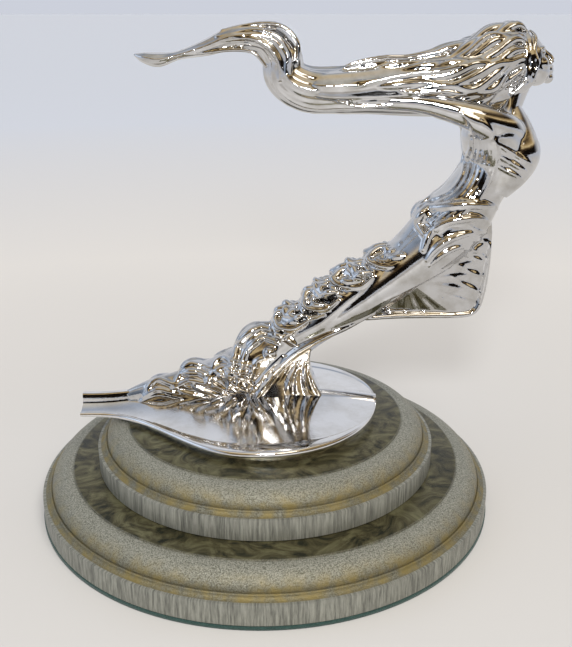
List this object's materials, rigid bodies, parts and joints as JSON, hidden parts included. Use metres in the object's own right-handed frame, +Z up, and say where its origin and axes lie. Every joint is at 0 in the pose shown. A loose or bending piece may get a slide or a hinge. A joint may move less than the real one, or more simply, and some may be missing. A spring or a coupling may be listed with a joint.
{
  "type": "hood_ornament",
  "caption": "Chrome flying-figure car hood ornament on a teardrop base plate, mounted for display on a stepped round wooden plinth with a felt underside",
  "frame": {"origin": "centre of the felt underside of the plinth, on the plane it rests on", "axes": "+X is the way the figure flies, +Y is the figure's left side, +Z is up"},
  "size_m": [0.2176, 0.2038, 0.2087],
  "materials": {
    "figure_chrome": "polished, slightly aged chrome plating",
    "plate_chrome": "polished, slightly aged chrome plating",
    "upper_wood": "metallic grey-olive lacquer",
    "lower_wood": "metallic grey-olive lacquer",
    "felt": "wool felt",
    "stud_steel": "zinc-plated thread rod",
    "washer_steel": "zinc plated",
    "nut_steel": "zinc plated",
    "screw_steel": "plain steel",
    "screw_brass": "plain brass"
  },
  "bodies": {
    "root": {"figure": "figure_chrome", "base_plate": "plate_chrome", "upper_disc": "upper_wood", "lower_disc": "lower_wood", "felt_pad": "felt", "mounting_studs": "stud_steel", "stud_washers": "washer_steel", "stud_nuts": "nut_steel", "figure_screws": "screw_steel", "disc_screws": "screw_brass"}
  },
  "joints": []
}
